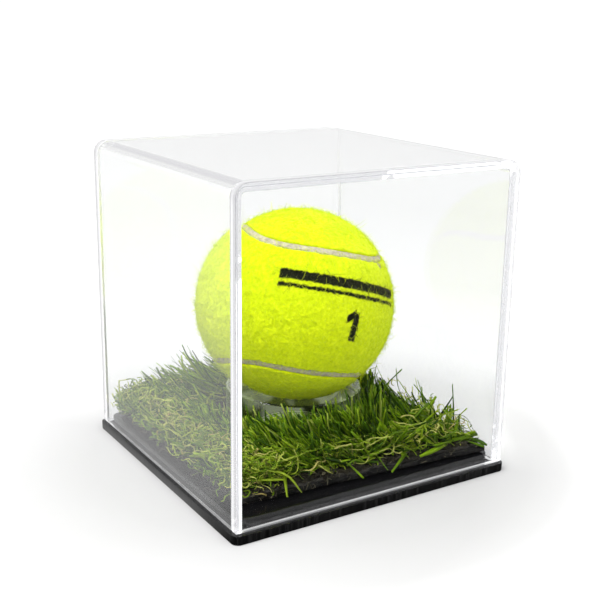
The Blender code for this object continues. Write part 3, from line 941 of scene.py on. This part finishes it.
def make_curls(name, rng, count, material, **changes):
    """Short curled strands at the foot of the pile, thickest along the front and left edges."""
    settings = dict(CURLS, **changes)
    roots = scatter_roots(rng, count * 4, settings["inset"] * MM, 25.0 * MM)
    in_front, at_left = settings["side"]
    edge = np.maximum(in_front * smoothstep(-30 * MM, -44 * MM, roots[:, 1]),
                      at_left * smoothstep(-26 * MM, -42 * MM, roots[:, 0]))
    order = np.argsort(-(edge * settings["edge"] + rng.random(len(roots))))
    low, high = settings["levels"]
    place = np.column_stack([roots[order[:count]], rng.uniform(low * MM, high * MM, count)])
    heading = rng.uniform(0.0, math.tau, count)
    climb = rng.normal(settings["climb"], 0.4, count)
    bend = rng.normal(0.0, settings["curl"], count)
    wobble = rng.uniform(0.0, math.tau, count)
    step = rng.uniform(0.35, 0.85, count) * MM * settings["step"]
    lines = [place]
    for index in range(13):
        heading = heading + bend + 0.35 * np.sin(wobble + index * 0.9)
        rise = climb + 0.6 * np.sin(wobble * 1.7 + index * 0.7)
        place = place + step[:, None] * np.column_stack([
            np.cos(heading) * np.cos(rise), np.sin(heading) * np.cos(rise), np.sin(rise)])
        place[:, 2] = np.clip(place[:, 2], settings["lowest"] * MM, settings["ceiling"] * MM)
        lines.append(place)
    lines = keep_clear(behind_edge(np.stack(lines, axis=1), settings["overhang"] * MM), 0.5 * MM)
    size = settings["thick"] * MM / 2 * rng.uniform(0.7, 1.3, count)
    widths = np.repeat(size[:, None], lines.shape[1], axis=1)
    facing = np.array([0.1, -0.4, 0.9])
    piece = make_strands(name, lines, widths, widths * 0.45, facing, 4, {"tint": rng.random(count)})
    finish_piece(piece, material, "base")


# ---------------------------------------------------------------- ring and ball


def make_ring(material):
    low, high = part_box("ball_ring")
    height = high.z - low.z
    inner, outer, top = RING_BORE + RING_CHAMFER, RING_OUTER - RING_CHAMFER, height - RING_CHAMFER
    corners = [
        (inner, 0.0), (outer, 0.0), (RING_OUTER, RING_CHAMFER), (RING_OUTER, top),
        (outer, height), (inner, height), (RING_BORE, top), (RING_BORE, RING_CHAMFER),
    ]
    section = []
    for first, second in zip(corners, corners[1:] + corners[:1]):
        run = 10 if math.dist(first, second) > 4 * MM else 2
        for step in range(run):
            section.append([a + (b - a) * step / run for a, b in zip(first, second)])
    section = np.array(section)
    turns = np.linspace(0.0, math.tau, 192, endpoint=False)[:, None]
    radius = section[None, :, 0] * (1.0 + RING_OUT_OF_ROUND * np.sin(3 * turns + 0.7))
    level = np.broadcast_to(section[None, :, 1] + low.z, radius.shape)
    points = np.stack([np.cos(turns) * radius, np.sin(turns) * radius, level], axis=-1)
    piece = make_mesh("clear_ball_ring", points, [grid_faces(*radius.shape, True, True)])
    flip_if_inside_out(piece)
    finish_piece(piece, material, "ring", ["ball_ring"], 30, casts_shadow=False)


def ball_attitude():
    facing_front = Matrix(((0, -1, 0), (0, 0, -1), (1, 0, 0)))
    turns = [Matrix.Rotation(angle, 3, axis)
             for angle, axis in ((BALL_YAW, "Z"), (BALL_TILT, "X"), (BALL_ROLL, "Z"))]
    return np.array(turns[0] @ turns[1] @ facing_front @ turns[2])


def seam_line(turns):
    """Points of the seam on the unit sphere, in the ball's own axes."""
    polar = math.pi / 2 - (math.pi / 2 - SEAM_POLAR_ANGLE) * np.cos(turns)
    around = turns / 2 + SEAM_SWING * np.sin(2 * turns)
    return np.stack([np.sin(polar) * np.cos(around), np.sin(polar) * np.sin(around), np.cos(polar)], axis=-1)


def seam_frames(count):
    """Points of the seam and the direction square to it on the sphere."""
    turns = np.linspace(0.0, 2 * math.tau, count, endpoint=False)
    middle = seam_line(turns)
    along = unit(seam_line(turns + 1e-4) - seam_line(turns - 1e-4))
    return middle, unit(np.cross(middle, along))


def seam_distance(directions):
    """Distance on the ball from the seam, positive in the panel that holds the +Z pole."""
    middle, inward = seam_frames(3000)
    tree = KDTree(len(middle))
    for index, point in enumerate(middle):
        tree.insert(point, index)
    tree.balance()
    nearest = np.array([tree.find(point)[1] for point in directions])
    offset = directions - middle[nearest]
    side = np.sign(np.sum(offset * inward[nearest], axis=-1))
    return side * np.linalg.norm(offset, axis=-1) * BALL_RADIUS


def ink_amount(directions):
    """How much of the plain printed marks, a double bar and a numeral, lies at each direction."""
    rough = 0.30 * MM * rough_noise(directions * BALL_RADIUS, 0.7 * MM, 61, 3)
    left, middle, right = (np.array(v.normalized()) for v in (BAR_LEFT, BAR_MIDDLE, BAR_RIGHT))
    axis = unit(np.cross(middle - left, right - left))
    axis = -axis if axis[2] < 0.0 else axis
    level = math.acos(float(axis @ middle))
    above = (level - np.arccos(np.clip(directions @ axis, -1.0, 1.0))) * BALL_RADIUS
    across = unit(middle - axis * (axis @ middle))
    beside = np.cross(axis, across)
    radius = math.sin(level) * BALL_RADIUS
    run = np.arctan2(directions @ beside, directions @ across) * radius
    start, stop = sorted(float(math.atan2(v @ beside, v @ across)) * radius for v in (left, right))

    def inked(*outside):
        return smoothstep(0.16 * MM, -0.16 * MM, np.maximum.reduce(outside) + rough)

    bars = [inked(low * MM - above, above - high * MM, start - run, run - stop)
            for low, high in ((-0.4, 2.9), (-2.9, -1.6))]
    normal = np.array(NUMERAL_MIDDLE.normalized())
    up = unit(np.array(NUMERAL_UP) - normal * (normal @ np.array(NUMERAL_UP)))
    right = np.cross(up, normal)
    right = -right if right[0] < 0.0 else right
    x, y = directions @ right * BALL_RADIUS, directions @ up * BALL_RADIUS
    stem = np.maximum(np.abs(x - 0.6 * MM) - 1.35 * MM, np.abs(y) - 4.9 * MM)
    slope = (y - 4.9 * MM) - (x + 0.75 * MM) * 0.70
    flag = np.maximum.reduce([slope, -slope - 2.6 * MM, -2.9 * MM - x, x - 0.6 * MM])
    numeral = inked(np.minimum(stem, flag)) * (directions @ normal > 0.5)
    return np.maximum.reduce([*bars, numeral])


def make_felt(materials):
    """Both felt panels, with rolled edges at the seam and a clumpy surface."""
    shape = bmesh.new()
    bmesh.ops.create_icosphere(shape, subdivisions=8, radius=1.0)
    mesh = bpy.data.meshes.new("ball_grid")
    shape.to_mesh(mesh)
    shape.free()
    grid = np.zeros(len(mesh.vertices) * 3, np.float32)
    mesh.vertices.foreach_get("co", grid)
    grid = unit(grid.reshape(-1, 3).astype(float))
    faces = np.zeros(len(mesh.loops), np.int32)
    mesh.loops.foreach_get("vertex_index", faces)
    faces = faces.reshape(-1, 3)
    bpy.data.meshes.remove(mesh)
    distance = seam_distance(grid)
    world = grid @ ATTITUDE.T
    clumps = 0.16 * MM * rough_noise(grid, 0.045, 21, 3) + 0.10 * MM * rough_noise(grid, 0.016, 31, 2)
    beside = np.abs(distance) + 0.25 * MM * rough_noise(grid, 0.05, 41, 3)
    roll = 1.9 * MM * (1.0 - smoothstep(0.55 * MM, 1.55 * MM, beside))
    puff = 0.12 * MM * smoothstep(0.9 * MM, 2.0 * MM, beside) * (1.0 - smoothstep(2.0 * MM, 4.5 * MM, beside))
    notch = np.linalg.norm(world - np.array(NOTCH.normalized()), axis=1) * BALL_RADIUS
    notch = notch + 0.5 * MM * rough_noise(grid, 0.03, 43, 2)
    worn = smoothstep(1.9 * MM, 1.2 * MM, notch)
    radius = BALL_RADIUS - 0.15 * MM + clumps + puff - np.maximum(roll, 0.5 * MM * worn)
    points = world * radius[:, None] + BALL_CENTRE
    ink = ink_amount(world)
    in_front = distance[faces].mean(axis=1) > 0.0
    for part, keep in (("front", in_front), ("rear", ~in_front)):
        used, renumbered = np.unique(faces[keep], return_inverse=True)
        piece = make_mesh("felt_panel_" + part, points[used], [renumbered.reshape(-1, 3)])
        add_value(piece, "ink", ink[used])
        add_value(piece, "bare", worn[used])
        finish_piece(piece, materials, "ball", ["ball_felt_" + part])


def make_fuzz(material, rng, count, part, rise=0.25, size=1.0, stretch=1.0):
    """Loose wool fibres: most lie over the felt, some stand off it."""
    normal = unit(rng.normal(size=(count, 3)))
    normal = normal[np.abs(seam_distance(normal @ ATTITUDE)) > 0.75 * MM]
    count = len(normal)
    across = unit(np.cross(normal, rng.normal(size=(count, 3))))
    bow = np.cross(normal, across)
    lift = np.abs(rng.normal(rise, 0.28, count)).clip(0.02, 1.3)
    length = rng.lognormal(0.25, 0.40, count) * stretch * MM
    share = np.linspace(0.0, 1.0, 4)[None, :, None]
    ahead = across * np.cos(lift)[:, None] + normal * np.sin(lift)[:, None]
    curl = rng.normal(0.0, 0.45, count)[:, None, None]
    sink = rng.uniform(0.0, 0.25, count)[:, None, None]
    normal, ahead, bow = normal[:, None, :], ahead[:, None, :], bow[:, None, :]
    reach = ahead * share + bow * share**2 * curl - normal * share**2 * sink
    lines = normal * (BALL_RADIUS - 0.22 * MM) + length[:, None, None] * reach + BALL_CENTRE
    lines[..., 2] = np.minimum(lines[..., 2], BALL_HEIGHT + BALL_RADIUS + 1.0 * MM)
    thin = np.array([1.0, 0.95, 0.75, 0.25])[None, :]
    widths = thin * (rng.uniform(0.022, 0.042, count) * size * MM)[:, None]
    ink = {"ink": ink_amount(normal[:, 0])}
    piece = make_strands(f"felt_fibres_{part}", lines, widths, widths, normal, 3, ink)
    finish_piece(piece, material, "ball")


def make_seam(material):
    """The rubber line, a little below the felt, with a torn and uneven edge."""
    middle, inward = seam_frames(1500)
    base = middle * BALL_RADIUS
    profile = [
        (-1.3, -1.7), (-1.3, -0.8), (-0.95, -0.42), (-0.5, -0.32), (0.0, -0.28),
        (0.5, -0.32), (0.95, -0.42), (1.3, -0.8), (1.3, -1.7),
    ]
    rows = []
    for offset, depth in profile:
        frayed = 0.12 * MM * rough_noise(base + offset * 0.01, 0.9 * MM, 51, 3)
        place = unit(base + inward * (offset * MM + frayed)[:, None])
        bumps = 0.08 * MM * rough_noise(base + offset * 0.003, 0.7 * MM, 71, 3) * (depth > -0.8)
        rows.append(place * (BALL_RADIUS + depth * MM + bumps)[:, None])
    points = np.stack(rows, axis=1) @ ATTITUDE.T + BALL_CENTRE
    piece = make_mesh("ball_seam_line", points, [grid_faces(len(base), len(profile), True, True)])
    flip_if_inside_out(piece)
    finish_piece(piece, material, "ball", ["ball_seam"])


# ---------------------------------------------------------------- stage


def make_camera():
    heading, dip, roll = CAMERA_HEADING, CAMERA_DIP, CAMERA_ROLL
    ahead = Vector((math.sin(heading) * math.cos(dip), math.cos(heading) * math.cos(dip), -math.sin(dip)))
    level = Vector((math.cos(heading), -math.sin(heading), 0.0))
    above = level.cross(ahead)
    right = math.cos(roll) * level + math.sin(roll) * above
    up = math.cos(roll) * above - math.sin(roll) * level
    data = bpy.data.cameras.new("camera")
    data.lens, data.sensor_width = CAMERA_LENS, 36.0
    data.clip_start, data.clip_end = 0.01, 20.0
    camera = place_object("camera", data)
    matrix = Matrix((right, up, -ahead)).transposed().to_4x4()
    matrix.translation = Vector(CAMERA_PLACE)
    camera.matrix_world = matrix
    bpy.context.scene.camera = camera


def make_floor():
    """Pale floor with painted shadow round the box and painted light and glow on it. Rays that reach it
    mirrored or scattered meet the painted light given here.
    """
    shape = bmesh.new()
    bmesh.ops.create_grid(shape, x_segments=2, y_segments=2, size=6.0)
    mesh = bpy.data.meshes.new("floor")
    shape.to_mesh(mesh)
    shape.free()
    floor = place_object("floor", mesh)
    floor.location.z = -0.02 * MM
    nodes = Nodes("studio_floor")
    place = nodes.add("NewGeometry").outputs["Position"]
    distance = nodes.add("VectorMath", operation="LENGTH")
    nodes.link(place, distance.inputs[0])
    away = distance.outputs["Value"]
    beside = nodes.dot(place, (0.80, -0.60, 0.0))
    behind = nodes.dot(place, (0.70, 0.70, 0.0))
    toward = nodes.dot(place, (-0.12, 0.99, 0.0))

    # Seen directly: painted shadow darkens it near the box and to its right, painted light lifts it behind
    # the box on the right, and a wide ring of painted glow brightens it further out.
    painted_floor_shadow = nodes.ramp(nodes.steps(away, 0.0, 0.2), (0.25, 0.53), (0.42, 0.57), (0.62, 0.62), (1.0, 0.65))
    painted_right_shadow = nodes.steps(beside, 0.0, 0.06, 1.0, 0.86)
    farther = nodes.steps(away, 0.085, 0.13, 0.86, 1.03)
    painted_floor_shadow = nodes.math("MULTIPLY", painted_floor_shadow, nodes.math("MAXIMUM", painted_right_shadow, farther))
    # Painted light lifting the floor behind the box on the right.
    lift = nodes.ramp(nodes.steps(beside, -20.0 * MM, 100.0 * MM),
                      (0.0, 0.35), (0.45, 1.0), (0.78, 1.0), (0.85, 0.40), (0.93, 0.10))
    lift = nodes.math("MULTIPLY", lift, nodes.steps(away, 0.075, 0.125, 0.62, 0.0))
    lift = nodes.math("MULTIPLY", lift, nodes.steps(behind, 0.0, 0.025))
    # Painted glow in a wide ring round the box.
    painted_floor_glow = nodes.ramp(nodes.steps(away, 0.0, 0.6),
                          (0.12, 0.0), (0.16, 0.07), (0.21, 0.31), (0.42, 0.12), (0.8, 0.03))
    nodes.set(Base_Color=nodes.math("MULTIPLY", painted_floor_shadow, nodes.math("ADD", lift, 1.0)), Roughness=0.9,
              Specular_IOR_Level=0.0, Emission_Color=(1.0, 1.0, 1.0), Emission_Strength=painted_floor_glow)

    # Mirrored once it shows a painted reflection, bright only behind the box; scattered rays find painted
    # light on the right.
    deep = nodes.math("MAXIMUM", nodes.past("Glossy", 1.5), nodes.past("Transmission", 3.5))
    bright = nodes.math("MAXIMUM", nodes.steps(toward, -0.045, -0.012, 0.010, 0.86),
                        nodes.math("MULTIPLY", deep, 0.95))
    mirrored, bounced = nodes.past("Glossy", 0.5), nodes.past("Diffuse", 0.5)
    lit = nodes.steps(beside, 0.0, 0.16, 0.20, 3.2)
    strength = nodes.math("MAXIMUM", nodes.math("MULTIPLY", bright, mirrored),
                          nodes.math("MULTIPLY", bounced, lit))
    nodes.swap(nodes.math("MAXIMUM", mirrored, bounced), nodes.glow(Strength=strength))
    mesh.materials.append(nodes.owner)


def make_world():
    """White all round; matt surfaces are lit mostly from the right."""
    scene = bpy.context.scene
    scene.world = bpy.data.worlds.new("studio")
    nodes = Nodes("studio", scene.world)
    ray = nodes.add("TexCoord").outputs["Generated"]
    fill = nodes.steps(nodes.dot(ray, FILL_FROM), 0.2, 1.0, *WORLD_FILL)
    seen = nodes.steps(nodes.past("Glossy", 0.5), 0.0, 1.0, ROOM_SEEN, ROOM_MIRRORED)
    nodes.set(Color=nodes.mix(nodes.past("Diffuse", 0.5), seen, fill))
    scene.view_settings.view_transform = "Standard"


def make_key_light():
    """One large soft light over the left shoulder, the same all over the floor."""
    data = bpy.data.lights.new("key", "SUN")
    data.energy = KEY_POWER
    data.angle = math.radians(60.0)
    light = place_object("key", data)
    light.rotation_mode = "QUATERNION"
    light.rotation_quaternion = Vector(KEY_FROM).to_track_quat("Z", "Y")


# ---------------------------------------------------------------- build

ATTITUDE = ball_attitude()

make_camera()
make_floor()
make_world()
make_key_light()

face = black_acrylic("black_sheet", 0.05)
base_side = sawn_black("base_sheet_sides", 0.34)
plinth_side = sawn_black("plinth_sheet_sides", 0.55)
make_plate("base_sheet", "base_plate", BASE_CORNER, [face, base_side], 81)
make_plate("plinth_sheet", "plinth_plate", PLINTH_CORNER, [face, plinth_side], 91)

clear = clear_acrylic("cover_acrylic", (0.965, 0.97, 0.97), 0.02)
# The cut edges and panel rims glow with painted light; the rims also carry a painted glint and a painted dark
# line.
cut = cut_acrylic("cover_cut_edge", (0.81, 0.81, 0.815), 0.06, 0.25, 0.03)
rim = cut_acrylic("cover_scraped_rim", (0.86, 0.86, 0.863), 0.10, 0.22, 0.05, 0.26)
glue = glue_material()
make_wrap([clear, cut])
for part in ("front", "back"):
    make_panel(f"cover_{part}_sheet", f"cover_{part}_panel", [clear, rim])
for part, seed in (("front", 5), ("back", 6)):
    make_glue(f"{part}_joint_cement", f"cover_{part}_panel", glue, seed)

tape = ragged_material("tape_paper", (0.45, 0.43, 0.38), (0.62, 0.60, 0.54), 200.0)
latex = ragged_material("latex_black", (0.006, 0.006, 0.006), (0.022, 0.021, 0.019), 400.0)
crumbs = ragged_material("thatch_mat", (0.010, 0.010, 0.006), (0.045, 0.040, 0.024), 500.0)
tape_levels = [corner.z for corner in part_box("turf_tape")]
torn = TURF_CORNERS[:1] + ((48.2, -48.0),) + TURF_CORNERS[2:]
inner = tuple((0.96 * x, 0.96 * y) for x, y in TURF_CORNERS)
make_turf_layer("tape_sheet", "turf_tape", tape_levels, 0.2 * MM, 0.0, tape, inner)
make_turf_layer("latex_coat", "turf_latex_coat", (7.05 * MM, 8.5 * MM), 0.7 * MM, 0.0, latex, torn)
make_turf_layer("backing_cloth", "turf_backing_cloth", (8.5 * MM, 9.3 * MM), 0.8 * MM, 0.05 * MM,
                woven_material())
make_turf_layer("thatch_bed", "curled_thatch", (9.35 * MM, 10.8 * MM), 1.4 * MM, 0.9 * MM, crumbs)

greens = (
    (0.0, (0.025, 0.065, 0.003)), (0.25, (0.070, 0.165, 0.004)), (0.5, (0.165, 0.320, 0.006)),
    (0.75, (0.30, 0.50, 0.009)), (0.92, (0.48, 0.65, 0.035)), (1.0, (0.58, 0.66, 0.16)),
)
tans = (
    (0.0, (0.08, 0.19, 0.005)), (0.35, (0.27, 0.42, 0.012)), (0.65, (0.48, 0.60, 0.05)),
    (0.92, (0.72, 0.74, 0.20)), (1.0, (0.62, 0.46, 0.16)),
)
browns = (
    (0.0, (0.02, 0.018, 0.010)), (0.4, (0.06, 0.055, 0.035)), (0.8, (0.13, 0.12, 0.08)),
    (1.0, (0.26, 0.24, 0.15)),
)
blade = blade_material("grass_blade", greens, 0.38, 0.42)
thread = blade_material("grass_thread", greens, 0.45, 0.42)
curl = blade_material("thatch_curl", tans, 0.5, 0.30)
fibre = blade_material("backing_fibre", browns, 0.8, 0.10)

# Length and width in millimetres; near is where the tufts gather; angles in radians.
COMBED = {
    "inset": 2.5 * MM, "length": (18, 26), "lean": 1.13, "lean_spread": 0.16, "droop": 0.10,
    "spread": 0.30, "points": 7, "width": 1.15, "sides": 4, "flatness": 0.13, "roll": 0.75,
    "tip": 0.55, "tuft": 8, "near": "",
}
rng = np.random.default_rng(17)
make_blades("grass_blades_combed", rng, 3000, blade, ["grass_pile"])
make_blades("grass_blades_thin", rng, 1300, thread, width=0.62, sides=3, flatness=0.6, spread=0.34,
            tip=0.4, inset=1.5 * MM)
make_blades("grass_blades_upright", rng, 90, blade, length=(9, 17), lean=0.55, spread=1.2,
            lean_spread=0.30, width=0.9, tip=0.4, tuft=1)
make_blades("grass_blades_lying", rng, 420, blade, length=(18, 30), lean=1.22, spread=0.70,
            lean_spread=0.20, width=1.6, tip=0.5, droop=0.22, near="front", inset=3.0 * MM, tuft=3)
make_blades("grass_blades_by_ring", rng, 800, blade, length=(16, 21), lean=0.62, lean_spread=0.22,
            spread=0.45, width=1.0, tuft=2, near="ring", inset=9 * MM)
make_loose_blades(blade)

# Millimetres; side is how strongly the curls gather in front and at the left.
CURLS = {
    "inset": 0.2, "edge": 3.0, "levels": (10.0, 17.5), "climb": 0.12, "curl": 0.26, "step": 1.1,
    "lowest": 8.4, "ceiling": 19.0, "thick": 0.46, "side": (0.0, 1.0), "overhang": 1.2,
}
make_curls("thatch_curls_left", rng, 1800, curl)
make_curls("thatch_curls_front", rng, 330, curl, side=(1.0, 0.0), curl=0.2, step=1.4,
           levels=(11.0, 16.5), lowest=10.4, ceiling=17.5, thick=0.40, overhang=0.3)
make_curls("thatch_curls_pale", rng, 130, curl, thick=0.5, levels=(12.0, 17.5), curl=0.15,
           step=1.8, side=(0.9, 0.7), lowest=10.0)
make_curls("backing_fibres", rng, 1700, fibre, inset=-0.2, edge=9.0, levels=(8.0, 11.5), thick=0.3,
           climb=-0.1, curl=0.5, step=0.6, ceiling=12.0, lowest=7.4, side=(1.0, 1.0))

make_ring(ring_acrylic())
make_felt(felt_material("felt_body", False))
fuzz = felt_material("felt_fibre", True)
for part in range(4):
    make_fuzz(fuzz, rng, 9000, part)
make_fuzz(fuzz, rng, 6500, 4, rise=0.70, size=1.7, stretch=1.5)
make_seam(seam_material())
core = ragged_material("core_rubber_black", (0.01, 0.01, 0.01), (0.03, 0.03, 0.03), 300.0)
for node in ("ball_core_front_half", "ball_core_rear_half"):
    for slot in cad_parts[node].material_slots:
        slot.material = core
